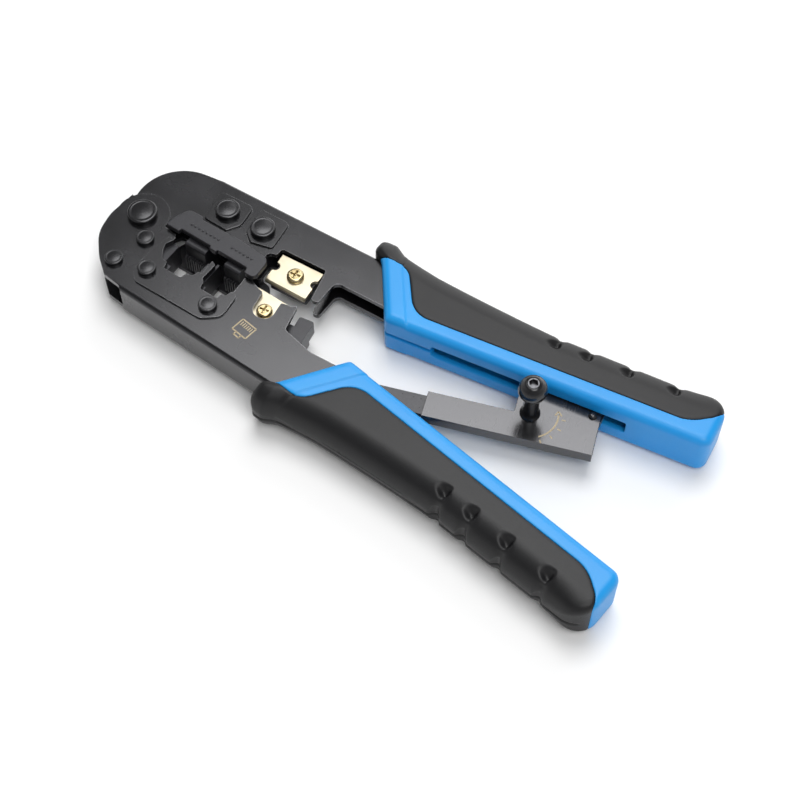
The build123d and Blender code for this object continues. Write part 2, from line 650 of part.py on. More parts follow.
def make_release_knob():
    """A mushroom knob: flared foot, slim neck, rounded cap with a flat top."""
    foot = Line((0, KNOB_BASE), (3.2, KNOB_BASE))
    flare = Spline((3.2, KNOB_BASE), (2.6, KNOB_BASE + 1.6), (2.5, KNOB_NECK_TOP))
    under = Line((2.5, KNOB_NECK_TOP), (3.2, KNOB_NECK_TOP + 0.9))
    cap = ThreePointArc((3.2, KNOB_NECK_TOP + 0.9), (4.5, KNOB_NECK_TOP + 3.6), (3.3, KNOB_TOP - 0.5))
    crown = ThreePointArc((3.3, KNOB_TOP - 0.5), (2.9, KNOB_TOP - 0.1), (2.5, KNOB_TOP))
    top = Line((2.5, KNOB_TOP), (0, KNOB_TOP))
    axis = Line((0, KNOB_TOP), (0, KNOB_BASE))
    profile = Plane.XZ * make_face([foot, flare, under, cap, crown, top, axis])
    body = Pos(*RELEASE_AXIS) * revolve(profile, Axis.Z)
    body -= disc(RELEASE_AXIS, 2.0, SCREW_SEAT, KNOB_TOP + 1)
    body -= disc(RELEASE_AXIS, 1.0, SHAFT_TOP, SCREW_SEAT)
    return body - disc(RELEASE_AXIS, SHAFT_RADIUS, 0, SHAFT_TOP)


def make_knob_screw():
    head = disc(RELEASE_AXIS, 2.0, SCREW_SEAT, KNOB_TOP - 0.1)
    head = fillet(rim_edges(head, KNOB_TOP - 0.1), 0.3)
    head += disc(RELEASE_AXIS, 1.0, SHAFT_TOP, SCREW_SEAT)
    socket = Pos(*RELEASE_AXIS) * RegularPolygon(1.3, 6, major_radius=False)
    return head - slab(socket, KNOB_TOP - 1.6, KNOB_TOP + 1)


# ---------------------------------------------------------------- all pieces
UPPER_TANG = slab(upper_plate(), UPPER_LOW, UPPER_HIGH)
LOWER_TANG = slab(lower_plate(), LOWER_LOW, LOWER_HIGH)
COVER_NEAR = PAD_HIGH + COVER_GAP
COVER_FAR = COVER_NEAR + COVER_RISE
REAR_NEAR = PAD_LOW - COVER_GAP
REAR_FAR = REAR_NEAR - COVER_RISE

save(make_upper_frame(), "upper_frame_channel")
save(make_lower_frame(), "lower_frame_channel")
save(make_pivot_rivet(), "pivot_rivet")
save(make_pivot_bush(), "pivot_bush")
save(Compound(make_return_spring()), "return_spring")
save(make_die(12.3, DIE_SPLIT, -2.6, CENTRE_8P, PLUG_8P_WIDTH, SEAT_8P), "die_8p")
save(make_die(DIE_SPLIT, 45.2, -1.2, CENTRE_6P, PLUG_6P_WIDTH, SEAT_6P), "die_6p")
save(Compound(make_rivets(DIE_RIVETS, RIVET_HEAD_RADIUS, RIVET_SHANK_RADIUS, PAD_LOW, PAD_HIGH,
                          RIVET_HEAD_RISE)), "die_rivets")
save(Compound(make_rivets(LOBE_RIVETS, RIVET_HEAD_RADIUS, RIVET_SHANK_RADIUS, LOWER_LOW,
                          LOWER_HIGH, RIVET_HEAD_RISE)), "lobe_rivets")
save(Compound(make_rivets(PUNCH_RIVETS, PUNCH_RIVET_HEAD_RADIUS, PUNCH_RIVET_SHANK_RADIUS,
                          UPPER_LOW - PAD_RISE, UPPER_HIGH + PAD_RISE, PUNCH_RIVET_HEAD_RISE)),
     "punch_rivets")
save(Compound(make_frame_spacers()), "frame_spacers")
save(make_punch(CENTRE_8P - 0.4, 4.1, PUNCH_RIVETS[0]), "punch_8p")
save(make_punch(CENTRE_6P - 0.1, 3.1, PUNCH_RIVETS[1]), "punch_6p")
save(make_comb(CENTRE_8P - 0.4, 8), "contact_comb_8p")
save(make_comb(CENTRE_6P - 0.1, 6), "contact_comb_6p")
save(make_cover(cover_outline(), COVER_NEAR, COVER_FAR, UPPER_HIGH), "die_label_cover")
save(make_cover(rear_cover_outline(), REAR_NEAR, REAR_FAR, UPPER_LOW), "rear_die_cover")
save(make_cutter_blade(), "cutter_blade")
save(make_blade_holder(), "blade_holder")
save(cross_screw(BLADE_SCREW, BLADE_SCREW_HEAD, BLADE_TOP, 1.6, BLADE_THICKNESS + 3.5), "blade_screw")
save(make_stripper_anvil(), "stripper_anvil")
save(make_anvil_holder(), "anvil_holder")
save(cross_screw(ANVIL_SCREW, ANVIL_SCREW_HEAD, LOWER_CEILING, 1.5, 5.0), "anvil_screw")
save(make_core(UPPER_SLOT_START) - UPPER_TANG, "upper_handle_core")
save(make_grip() - UPPER_TANG, "upper_handle_grip")
save(mirrored(make_core(LOWER_SLOT_START)) - LOWER_TANG, "lower_handle_core")
save(mirrored(make_grip()) - LOWER_TANG, "lower_handle_grip")
save(make_ratchet_lug(), "ratchet_lug")
save(disc(LUG_RIVET, SCREW_SHANK, UPPER_LOW, UPPER_HIGH), "lug_rivet")
save(make_ratchet_pivot_rivet(), "ratchet_pivot_rivet")
save(disc(BAR_PIVOT, SCREW_SHANK, LOWER_LOW, LOWER_HIGH), "bar_pivot_pin")
save(make_ratchet_housing(), "ratchet_housing")
save(make_spring_post(), "spring_post")
save(make_pawl_spring(), "pawl_spring")
save(make_ratchet_bar(), "ratchet_bar")
save(make_pawl(), "pawl")
save(make_release_shaft(), "release_shaft")
save(make_release_knob(), "release_knob")
save(make_knob_screw(), "knob_screw")
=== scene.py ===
# %% [markdown]
# # A crimping tool for modular plugs, piece by piece
#
# This tool presses the contacts of a modular plug into the wires of a cable. It
# is two folded steel channels on one rivet, two moulded handles, and a ratchet
# that holds the handles until the squeeze is complete. The sizes and joints come
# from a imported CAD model. This lesson gives each part its real surface: soft
# edges on the pressed steel, crowned rubber on the handles, and a finish for
# every material.

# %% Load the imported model
import json
import math
import bpy
import bmesh
from mathutils import Matrix, Vector


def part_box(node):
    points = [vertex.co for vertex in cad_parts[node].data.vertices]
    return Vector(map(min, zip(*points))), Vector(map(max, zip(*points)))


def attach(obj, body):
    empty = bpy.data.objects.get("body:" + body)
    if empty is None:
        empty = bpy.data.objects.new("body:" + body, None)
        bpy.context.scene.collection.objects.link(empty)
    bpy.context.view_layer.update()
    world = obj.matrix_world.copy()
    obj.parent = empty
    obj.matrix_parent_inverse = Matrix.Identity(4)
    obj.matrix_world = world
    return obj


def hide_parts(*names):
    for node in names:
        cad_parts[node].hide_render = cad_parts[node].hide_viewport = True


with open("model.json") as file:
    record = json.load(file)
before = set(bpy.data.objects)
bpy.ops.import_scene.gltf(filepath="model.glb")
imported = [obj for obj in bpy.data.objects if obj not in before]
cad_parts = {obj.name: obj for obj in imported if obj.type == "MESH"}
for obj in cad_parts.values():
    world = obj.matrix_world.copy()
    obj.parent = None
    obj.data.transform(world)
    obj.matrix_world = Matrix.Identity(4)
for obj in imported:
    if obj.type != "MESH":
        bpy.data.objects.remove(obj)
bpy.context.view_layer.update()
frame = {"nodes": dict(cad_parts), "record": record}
record = frame["record"]
body_of_node = {}
for body, held in record["behaviour"]["bodies"].items():
    for held_node in held:
        body_of_node[held_node] = body
slot_of_node = {part["node"]: part["material_slot"] for part in record["subparts"]}

# %% [markdown]
# ## Places on the tool
#
# Blender works in metres and a toolmaker in millimetres, so one factor turns one
# into the other. The two halves of the tool are mirror twins about the main
# pivot. One function carries a shape from the upper half to the lower half, so
# each handle only has to be shaped once.

# %% Units and the mirror twin
MM = 0.001
OPEN_ANGLE = math.radians(17.5)    # between the two handles, fully open
MID_Z = 9.0                        # half the handle's height, mm
LOWER_TOP = 15.2                   # lower frame's top plate, mm
COVER_TOP = 17.8                   # cover over the punches, mm
HOUSING_TOP = 11.1                 # ratchet housing's top plate, mm
BAR_ANGLE = math.radians(10.1)     # ratchet bar against the upper handle
DIE_ANGLE = math.radians(-9.0)     # the dies' line against the upper handle
TWIN = Matrix.Rotation(-OPEN_ANGLE, 4, "Z") @ Matrix.Diagonal((1, -1, 1, 1))


def turned_point(centre, angle, along, across):
    """A point given along and across a direction from a centre."""
    cos, sin = math.cos(angle), math.sin(angle)
    return (centre[0] + along * cos - across * sin, centre[1] + along * sin + across * cos)


def centre_of(node):
    """The middle of a CAD node's box, in millimetres."""
    low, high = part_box(node)
    return (Vector(low) + Vector(high)) / 2 / MM


print("main pivot at", tuple(round(v, 2) for v in centre_of("pivot_rivet")))

# %% [markdown]
# ## Making a piece
#
# Each new piece starts as a bmesh, Blender's editable mesh. The helper below
# turns it into an object: it smooths the faces, keeps edges sharp where two
# faces meet at a clear angle, assigns the finish, and ties the piece to the CAD
# body that it moves with.

# %% From bmesh to a finished piece
SHARP = math.radians(32)


def make_piece(name, mesh, body, finish, nodes=(), flat_faces=False):
    """Turns a bmesh in metres into an object that rides on a body."""
    for face in mesh.faces:
        face.smooth = True
    for edge in mesh.edges:
        edge.smooth = edge.calc_face_angle(0) < SHARP
    data = bpy.data.meshes.new(name)
    mesh.to_mesh(data)
    mesh.free()
    data.materials.append(finish)
    made = bpy.data.objects.new(name, data)
    bpy.context.scene.collection.objects.link(made)
    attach(made, body)
    if nodes:
        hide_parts(*nodes)
    if flat_faces:
        level = made.modifiers.new("flat_faces", "WEIGHTED_NORMAL")
        level.weight = 100
        level.keep_sharp = True
    print(name, "faces:", len(data.polygons))
    return made


# %% [markdown]
# ## Colours and shader nodes
#
# A colour picked on a screen is an sRGB value, and a shader works in linear
# light, so one function converts. One more small function adds a shader node
# with its settings and its links, which keeps each finish short to read. Each
# pattern is sized from a real length in millimetres.

# %% Colours, pattern sizes and one node helper
def colour(code):
    """A #RRGGBB colour in sRGB as linear values."""
    linear = []
    for start in (1, 3, 5):
        value = int(code[start:start + 2], 16) / 255
        linear.append(value / 12.92 if value <= 0.04045 else ((value + 0.055) / 1.055) ** 2.4)
    return (*linear, 1.0)


def per_mm(size):
    """The texture scale that makes a feature about this many millimetres wide."""
    return 1 / (size * MM)


def add(tree, kind, inputs=None, **settings):
    """Adds a shader node; an input is a value or another node's output."""
    made = tree.nodes.new(kind)
    for setting, value in settings.items():
        setattr(made, setting, value)
    for socket, value in (inputs or {}).items():
        if isinstance(value, bpy.types.NodeSocket):
            tree.links.new(value, made.inputs[socket])
        else:
            made.inputs[socket].default_value = value
    return made


def start_finish(name):
    """A new, empty material; gives it and its node tree."""
    made = bpy.data.materials.new(name)
    made.use_nodes = True
    made.node_tree.nodes.clear()
    return made, made.node_tree


# %% [markdown]
# ## Black oxide on folded steel
#
# The channels are cold-rolled sheet, folded and then blackened in a hot salt
# bath and oiled. The bath leaves a thin, slightly uneven charcoal skin, the oil
# adds a soft gloss coat, and the skin wears lighter where an edge rubs. Low, wide
# clouds vary the tone and the gloss, and a fine grain breaks up the highlights. A
# bevel node finds the edges, because there the rounded normal parts from the
# flat one. Along the edges the colour is painted much lighter: partly that wear,
# partly a painted highlight.

# %% Black oxide
black_oxide, tree = start_finish("black_oxide_steel")
place = add(tree, "ShaderNodeTexCoord").outputs["Object"]
clouds = add(tree, "ShaderNodeTexNoise", {"Vector": place, "Scale": per_mm(14), "Detail": 4.0})
grain = add(tree, "ShaderNodeTexNoise", {"Vector": place, "Scale": per_mm(0.45), "Detail": 3.0})
tone = add(tree, "ShaderNodeMix", {0: clouds.outputs[0], 6: colour("#1F1F21"),
                                   7: colour("#2C2C2F")}, data_type="RGBA")
flat = add(tree, "ShaderNodeNewGeometry").outputs["Normal"]
rounded = add(tree, "ShaderNodeBevel", {"Radius": 0.35 * MM}, samples=4)
alike = add(tree, "ShaderNodeVectorMath", {0: flat, 1: rounded.outputs[0]}, operation="DOT_PRODUCT")
# Edge mask: edges painted lighter, partly rubbed wear and partly a painted highlight.
edge_wear_and_highlight = add(tree, "ShaderNodeMapRange", {"Value": alike.outputs["Value"], "From Min": 0.97,
                                        "From Max": 0.80, "To Min": 0.0, "To Max": 0.9})
# Base colour with the lighter edges mixed in: wear and painted highlight together.
skin_and_edge_highlight = add(tree, "ShaderNodeMix", {0: edge_wear_and_highlight.outputs[0], 6: tone.outputs[2], 7: colour("#8A8A8C")},
           data_type="RGBA")
gloss = add(tree, "ShaderNodeMapRange", {"Value": clouds.outputs[0], "From Min": 0.3,
                                         "From Max": 0.7, "To Min": 0.20, "To Max": 0.30})
bump = add(tree, "ShaderNodeBump", {"Height": grain.outputs[0], "Strength": 0.07,
                                    "Distance": 0.0001})
shader = add(tree, "ShaderNodeBsdfPrincipled", {
    "Base Color": skin_and_edge_highlight.outputs[2], "Metallic": 0.7, "Roughness": gloss.outputs[0],
    "Coat Weight": 0.6, "Coat Roughness": 0.22, "Normal": bump.outputs[0]})
add(tree, "ShaderNodeOutputMaterial", {"Surface": shader.outputs[0]})

# %% [markdown]
# ## Sintered and cast steel
#
# The dies, the punches and their covers are pressed from powder and fired, so
# their skin is more open than the sheet's. It gives the eye a duller charcoal
# with a fine pebble grain.

# %% Sintered steel
cast_steel, tree = start_finish("black_cast_steel")
place = add(tree, "ShaderNodeTexCoord").outputs["Object"]
pebble = add(tree, "ShaderNodeTexVoronoi", {"Vector": place, "Scale": per_mm(0.5)})
grain = add(tree, "ShaderNodeTexNoise", {"Vector": place, "Scale": per_mm(0.8), "Detail": 5.0})
tone = add(tree, "ShaderNodeMix", {0: grain.outputs[0], 6: colour("#232326"), 7: colour("#38383C")},
           data_type="RGBA")
gloss = add(tree, "ShaderNodeMapRange", {"Value": grain.outputs[0], "From Min": 0.3,
                                         "From Max": 0.7, "To Min": 0.38, "To Max": 0.56})
bump = add(tree, "ShaderNodeBump", {"Height": pebble.outputs[0], "Strength": 0.16,
                                    "Distance": 0.0001})
bump = add(tree, "ShaderNodeBump", {"Height": grain.outputs[0], "Strength": 0.18,
                                    "Distance": 0.00012, "Normal": bump.outputs[0]})
shader = add(tree, "ShaderNodeBsdfPrincipled", {
    "Base Color": tone.outputs[2], "Metallic": 0.6, "Roughness": gloss.outputs[0],
    "Coat Weight": 0.4, "Coat Roughness": 0.3, "Normal": bump.outputs[0]})
add(tree, "ShaderNodeOutputMaterial", {"Surface": shader.outputs[0]})

# %% [markdown]
# ## Black-plated ratchet sheet
#
# The ratchet's housing is ground across its length and then plated. It is the
# glossiest dark grey on the tool, with thin scratches across it. A noise that
# is stretched along the scratch direction draws them. The flat bar has the same
# plating, duller, with a few specks.

# %% Plated sheet and bar
plated_sheet, tree = start_finish("black_plated_sheet")
place = add(tree, "ShaderNodeTexCoord").outputs["Object"]
turned = add(tree, "ShaderNodeMapping", {"Vector": place, "Rotation": (0, 0, BAR_ANGLE),
                                         "Scale": (1.0, 14.0, 1.0)}, vector_type="TEXTURE")
streaks = add(tree, "ShaderNodeTexNoise", {"Vector": turned.outputs[0], "Scale": per_mm(0.5),
                                           "Detail": 4.0})
clouds = add(tree, "ShaderNodeTexNoise", {"Vector": place, "Scale": per_mm(7), "Detail": 2.0})
tone = add(tree, "ShaderNodeMix", {0: streaks.outputs[0], 6: colour("#38383A"),
                                   7: colour("#4C4C4E")}, data_type="RGBA")
gloss = add(tree, "ShaderNodeMapRange", {"Value": streaks.outputs[0], "From Min": 0.3,
                                         "From Max": 0.7, "To Min": 0.20, "To Max": 0.28})
bump = add(tree, "ShaderNodeBump", {"Height": streaks.outputs[0], "Strength": 0.08,
                                    "Distance": 0.0001})
shader = add(tree, "ShaderNodeBsdfPrincipled", {
    "Base Color": tone.outputs[2], "Metallic": 0.85, "Roughness": gloss.outputs[0],
    "Coat Weight": 0.4, "Coat Roughness": 0.15, "Normal": bump.outputs[0]})
add(tree, "ShaderNodeOutputMaterial", {"Surface": shader.outputs[0]})

bar_steel, tree = start_finish("ratchet_bar_steel")
place = add(tree, "ShaderNodeTexCoord").outputs["Object"]
specks = add(tree, "ShaderNodeTexVoronoi", {"Vector": place, "Scale": per_mm(1.6)})
speck = add(tree, "ShaderNodeMapRange", {"Value": specks.outputs[0], "From Min": 0.08,
                                         "From Max": 0.14, "To Min": 1.0, "To Max": 0.0})
grain = add(tree, "ShaderNodeTexNoise", {"Vector": place, "Scale": per_mm(0.6), "Detail": 4.0})
tone = add(tree, "ShaderNodeMix", {0: grain.outputs[0], 6: colour("#3C3C3E"),
                                   7: colour("#4E4E50")}, data_type="RGBA")
dotted = add(tree, "ShaderNodeMix", {0: speck.outputs[0], 6: tone.outputs[2],
                                     7: colour("#161617")}, data_type="RGBA")
bump = add(tree, "ShaderNodeBump", {"Height": grain.outputs[0], "Strength": 0.15,
                                    "Distance": 0.0001})
shader = add(tree, "ShaderNodeBsdfPrincipled", {
    "Base Color": dotted.outputs[2], "Metallic": 0.7, "Roughness": 0.42,
    "Normal": bump.outputs[0]})
add(tree, "ShaderNodeOutputMaterial", {"Surface": shader.outputs[0]})

# %% [markdown]
# ## Bright parts
#
# The cutter and the stripper's edge are hardened steel with a warm nickel
# flash, lightly ground. The screws that hold them are yellow zinc, which shows
# as a thin brass tint. Springs and the small socket screw are plain oiled steel.

# %% Nickel, zinc and spring steel
nickel, tree = start_finish("nickel_plate")
place = add(tree, "ShaderNodeTexCoord").outputs["Object"]
turned = add(tree, "ShaderNodeMapping", {"Vector": place, "Rotation": (0, 0, DIE_ANGLE),
                                         "Scale": (12.0, 1.0, 1.0)}, vector_type="TEXTURE")
ground = add(tree, "ShaderNodeTexNoise", {"Vector": turned.outputs[0], "Scale": per_mm(0.35),
                                          "Detail": 3.0})
clouds = add(tree, "ShaderNodeTexNoise", {"Vector": place, "Scale": per_mm(5), "Detail": 2.0})
tone = add(tree, "ShaderNodeMix", {0: clouds.outputs[0], 6: colour("#B9AF97"),
                                   7: colour("#D0C8B3")}, data_type="RGBA")
gloss = add(tree, "ShaderNodeMapRange", {"Value": ground.outputs[0], "From Min": 0.3,
                                         "From Max": 0.7, "To Min": 0.30, "To Max": 0.42})
bump = add(tree, "ShaderNodeBump", {"Height": ground.outputs[0], "Strength": 0.06,
                                    "Distance": 0.0001})
shader = add(tree, "ShaderNodeBsdfPrincipled", {
    "Base Color": tone.outputs[2], "Metallic": 1.0, "Roughness": gloss.outputs[0],
    "Normal": bump.outputs[0]})
add(tree, "ShaderNodeOutputMaterial", {"Surface": shader.outputs[0]})

zinc, tree = start_finish("screw_plating")
place = add(tree, "ShaderNodeTexCoord").outputs["Object"]
tarnish = add(tree, "ShaderNodeTexNoise", {"Vector": place, "Scale": per_mm(1.4), "Detail": 3.0})
tone = add(tree, "ShaderNodeMix", {0: tarnish.outputs[0], 6: colour("#9A8458"),
                                   7: colour("#D2C6A0")}, data_type="RGBA")
gloss = add(tree, "ShaderNodeMapRange", {"Value": tarnish.outputs[0], "From Min": 0.3,
                                         "From Max": 0.7, "To Min": 0.18, "To Max": 0.34})
shader = add(tree, "ShaderNodeBsdfPrincipled", {
    "Base Color": tone.outputs[2], "Metallic": 1.0, "Roughness": gloss.outputs[0]})
add(tree, "ShaderNodeOutputMaterial", {"Surface": shader.outputs[0]})

spring_steel, tree = start_finish("spring_steel")
place = add(tree, "ShaderNodeTexCoord").outputs["Object"]
drawn = add(tree, "ShaderNodeTexNoise", {"Vector": place, "Scale": per_mm(0.6), "Detail": 2.0})
tone = add(tree, "ShaderNodeMix", {0: drawn.outputs[0], 6: colour("#8B8C90"),
                                   7: colour("#B9BABD")}, data_type="RGBA")
shader = add(tree, "ShaderNodeBsdfPrincipled", {
    "Base Color": tone.outputs[2], "Metallic": 1.0, "Roughness": 0.3})
add(tree, "ShaderNodeOutputMaterial", {"Surface": shader.outputs[0]})

socket_steel, tree = start_finish("socket_screw_steel")
place = add(tree, "ShaderNodeTexCoord").outputs["Object"]
rings = add(tree, "ShaderNodeTexNoise", {"Vector": place, "Scale": per_mm(0.5), "Detail": 2.0})
tone = add(tree, "ShaderNodeMix", {0: rings.outputs[0], 6: colour("#3A3A3C"),
                                   7: colour("#67686B")}, data_type="RGBA")
shader = add(tree, "ShaderNodeBsdfPrincipled", {
    "Base Color": tone.outputs[2], "Metallic": 1.0, "Roughness": 0.28})
add(tree, "ShaderNodeOutputMaterial", {"Surface": shader.outputs[0]})

# %% [markdown]
# ## Moulded handle materials
#
# The core is injection-moulded polypropylene, an even sky blue with a satin
# skin from the mould. The grip is a thermoplastic rubber moulded over it: almost
# black and satin, with a very fine spark-eroded texture that spreads its
# highlights. The knob is moulded acetal, a deep gloss black.

# %% Blue core, black grip and knob
blue, tree = start_finish("blue_plastic")
place = add(tree, "ShaderNodeTexCoord").outputs["Object"]
flow = add(tree, "ShaderNodeTexNoise", {"Vector": place, "Scale": per_mm(30), "Detail": 2.0})
mould = add(tree, "ShaderNodeTexNoise", {"Vector": place, "Scale": per_mm(0.5), "Detail": 3.0})
tone = add(tree, "ShaderNodeMix", {0: flow.outputs[0], 6: colour("#0A8BD6"),
                                   7: colour("#1A9AE2")}, data_type="RGBA")
gloss = add(tree, "ShaderNodeMapRange", {"Value": mould.outputs[0], "From Min": 0.3,
                                         "From Max": 0.7, "To Min": 0.34, "To Max": 0.46})
bump = add(tree, "ShaderNodeBump", {"Height": mould.outputs[0], "Strength": 0.10,
                                    "Distance": 0.0001})
shader = add(tree, "ShaderNodeBsdfPrincipled", {
    "Base Color": tone.outputs[2], "Roughness": gloss.outputs[0], "IOR": 1.49,
    "Normal": bump.outputs[0]})
add(tree, "ShaderNodeOutputMaterial", {"Surface": shader.outputs[0]})

rubber, tree = start_finish("black_rubber")
place = add(tree, "ShaderNodeTexCoord").outputs["Object"]
dust = add(tree, "ShaderNodeTexNoise", {"Vector": place, "Scale": per_mm(12), "Detail": 3.0})
spark = add(tree, "ShaderNodeTexNoise", {"Vector": place, "Scale": per_mm(0.35), "Detail": 4.0})
tone = add(tree, "ShaderNodeMix", {0: dust.outputs[0], 6: colour("#0D0D0F"),
                                   7: colour("#151517")}, data_type="RGBA")
gloss = add(tree, "ShaderNodeMapRange", {"Value": spark.outputs[0], "From Min": 0.3,
                                         "From Max": 0.7, "To Min": 0.38, "To Max": 0.50})
bump = add(tree, "ShaderNodeBump", {"Height": spark.outputs[0], "Strength": 0.22,
                                    "Distance": 0.0001})
shader = add(tree, "ShaderNodeBsdfPrincipled", {
    "Base Color": tone.outputs[2], "Roughness": gloss.outputs[0], "IOR": 1.42,
    "Normal": bump.outputs[0]})
add(tree, "ShaderNodeOutputMaterial", {"Surface": shader.outputs[0]})

knob_black, tree = start_finish("gloss_black_knob")
place = add(tree, "ShaderNodeTexCoord").outputs["Object"]
orange = add(tree, "ShaderNodeTexNoise", {"Vector": place, "Scale": per_mm(1.5), "Detail": 1.0})
tone = add(tree, "ShaderNodeMix", {0: orange.outputs[0], 6: colour("#0E0E10"),
                                   7: colour("#17171A")}, data_type="RGBA")
bump = add(tree, "ShaderNodeBump", {"Height": orange.outputs[0], "Strength": 0.04,
                                    "Distance": 0.0001})
shader = add(tree, "ShaderNodeBsdfPrincipled", {
    "Base Color": tone.outputs[2], "Roughness": 0.22, "IOR": 1.48, "Coat Weight": 0.3,
    "Coat Roughness": 0.1, "Normal": bump.outputs[0]})
add(tree, "ShaderNodeOutputMaterial", {"Surface": shader.outputs[0]})

# %% [markdown]
# ## Etched marks
#
# A laser leaves pale, slightly rough lines on blackened steel. They have their
# own thin material, its tone broken up by noise.

# %% Laser etching
etched, tree = start_finish("laser_etching")
place = add(tree, "ShaderNodeTexCoord").outputs["Object"]
burn = add(tree, "ShaderNodeTexNoise", {"Vector": place, "Scale": per_mm(0.4), "Detail": 3.0})
tone = add(tree, "ShaderNodeMix", {0: burn.outputs[0], 6: colour("#8A7C65"),
                                   7: colour("#D0C09C")}, data_type="RGBA")
shader = add(tree, "ShaderNodeBsdfPrincipled", {
    "Base Color": tone.outputs[2], "Metallic": 0.2, "Roughness": 0.6})
add(tree, "ShaderNodeOutputMaterial", {"Surface": shader.outputs[0]})

FINISHES = {
    "black_oxide_steel": black_oxide, "black_cast_steel": cast_steel,
    "black_plated_sheet": plated_sheet, "nickel_plate": nickel, "screw_plating": zinc,
    "spring_steel": spring_steel, "blue_plastic": blue, "black_rubber": rubber,
    "gloss_black_knob": knob_black, "socket_screw_steel": socket_steel,
}
for node, held_object in frame["nodes"].items():
    if not held_object.material_slots:
        held_object.data.materials.append(FINISHES[slot_of_node[node]])
    for material_slot in held_object.material_slots:
        material_slot.material = FINISHES[slot_of_node[node]]
print("finishes:", len(FINISHES))

# %% [markdown]
# ## Pressed and folded steel
#
# A punch press rounds the edges it shears, and a press brake rounds its folds.
# The CAD model has the plates' true outlines with sharp edges, so a copy of each
# is merged into whole faces and its edges are bevelled by a small width. Edges
# are picked by the angle between their faces, and the pressed pads' rims, which
# lie at one known height, get a wide, soft bevel first.

# %% Soft edges for a CAD copy
FLAT = math.radians(0.6)            # faces that meet at less are one flat face
HARD = math.radians(40)            # edges that meet at more are rounded


def merged_copy(node):
    """A CAD node's mesh as a bmesh of whole, closed faces."""
    mesh = bmesh.new()
    mesh.from_mesh(frame["nodes"][node].data)
    bmesh.ops.remove_doubles(mesh, verts=mesh.verts, dist=0.002 * MM)
    bmesh.ops.dissolve_limit(mesh, angle_limit=FLAT, verts=mesh.verts, edges=mesh.edges)
    return mesh


def bevel_edges(mesh, edges, width, segments):
    """Rounds the given edges."""
    bmesh.ops.bevel(mesh, geom=edges, affect="EDGES", offset_type="OFFSET", offset=width * MM,
                    segments=segments, profile=0.5, material=-1, clamp_overlap=True,
                    loop_slide=True)


def level_edges(mesh, level):
    """Sharp edges that lie flat at one height."""
    found = []
    for edge in mesh.edges:
        heights = [vert.co.z / MM - level for vert in edge.verts]
        if max(abs(h) for h in heights) < 0.02 and edge.calc_face_angle(0) > math.radians(60):
            found.append(edge)
    return found


def softened(node, width, segments=2, rims=()):
    """Replaces a CAD node with a copy whose edges are rounded."""
    mesh = merged_copy(node)
    for level, rim_width, rim_segments in rims:
        bevel_edges(mesh, level_edges(mesh, level), rim_width, rim_segments)
    hard = [edge for edge in mesh.edges if edge.calc_face_angle(0) > HARD]
    bevel_edges(mesh, hard, width, segments)
    slot = slot_of_node[node]
    return make_piece(node + "_soft", mesh, body_of_node[node], FINISHES[slot], [node], True)


RIM = 0.62                         # width of a pressed pad's rounded rim, mm
softened("upper_frame_channel", 0.2, rims=[(14.2, RIM, 5), (3.8, RIM, 5)])
softened("lower_frame_channel", 0.2, rims=[(15.9, RIM, 5), (2.1, RIM, 5)])
for part in ("die_label_cover", "rear_die_cover", "die_8p", "die_6p", "punch_8p", "punch_6p"):
    softened(part, 0.15)
for part in ("contact_comb_8p", "contact_comb_6p"):
    softened(part, 0.06, segments=1)
for part in ("blade_holder", "anvil_holder", "cutter_blade", "stripper_anvil"):
    softened(part, 0.12)
for part in ("blade_screw", "anvil_screw", "knob_screw"):
    softened(part, 0.08)
softened("ratchet_housing", 0.14)
softened("ratchet_bar", 0.15).data.materials[0] = bar_steel

# %% [markdown]
# ## Rivets
#
# A rivet is a turned or headed pin, the same all the way round, so its outline
# is drawn once and spun about its axis. The heads here are flat with a rounded
# rim, and a shallow ring shows where the heading tool pressed.

# %% Spun rivets
def spun(profile, centre, steps=64):
    """A bmesh spun from (radius, height) points about an upright axis."""
    mesh = bmesh.new()
    corners = [mesh.verts.new((radius * MM, 0, height * MM)) for radius, height in profile]
    for lower, upper in zip(corners, corners[1:]):
        mesh.edges.new((lower, upper))
    bmesh.ops.spin(mesh, geom=mesh.verts[:] + mesh.edges[:], axis=(0, 0, 1), cent=(0, 0, 0),
                   angle=math.tau, steps=steps, use_merge=True)
    bmesh.ops.remove_doubles(mesh, verts=mesh.verts, dist=0.001 * MM)
    bmesh.ops.recalc_face_normals(mesh, faces=mesh.faces)
    bmesh.ops.translate(mesh, verts=mesh.verts, vec=(centre[0] * MM, centre[1] * MM, 0))
    return mesh


def round_rim(radius, height, curve, up):
    """Profile points of a head's rim, from its flat top to its side."""
    points = []
    for step in range(7):
        turn = math.radians(90 * step / 6)
        points.append((radius - curve + curve * math.sin(turn),
                       height - up * (curve - curve * math.cos(turn))))
    return points


def head_profile(radius, seat, rise, curve, up):
    """A flat head with a shallow pressed ring, from its middle to its seat."""
    top = seat + up * rise
    ring = radius * 0.72
    flat = [(0, top), (ring - 0.25, top), (ring, top - up * 0.05), (ring + 0.25, top)]
    return flat + round_rim(radius, top, curve, up) + [(radius, seat)]


def rivet_mesh(centre, radius, shank, low, high, rise_low, rise_high, curve):
    """A whole rivet: upper head, shank and lower head."""
    upper = head_profile(radius, high, rise_high, curve, 1)
    lower = head_profile(radius, low, rise_low, curve, -1)
    return spun(upper + [(shank, high), (shank, low)] + lower[::-1], centre)


def joined(meshes):
    """One bmesh that holds several."""
    whole = bmesh.new()
    for mesh in meshes:
        data = bpy.data.meshes.new("part")
        mesh.to_mesh(data)
        mesh.free()
        whole.from_mesh(data)
        bpy.data.meshes.remove(data)
    return whole


def rivet_piece(node, meshes):
    """Joins rivets into the piece that stands for their CAD node."""
    slot = slot_of_node[node]
    make_piece(node + "_turned", joined(meshes), body_of_node[node], FINISHES[slot], [node])


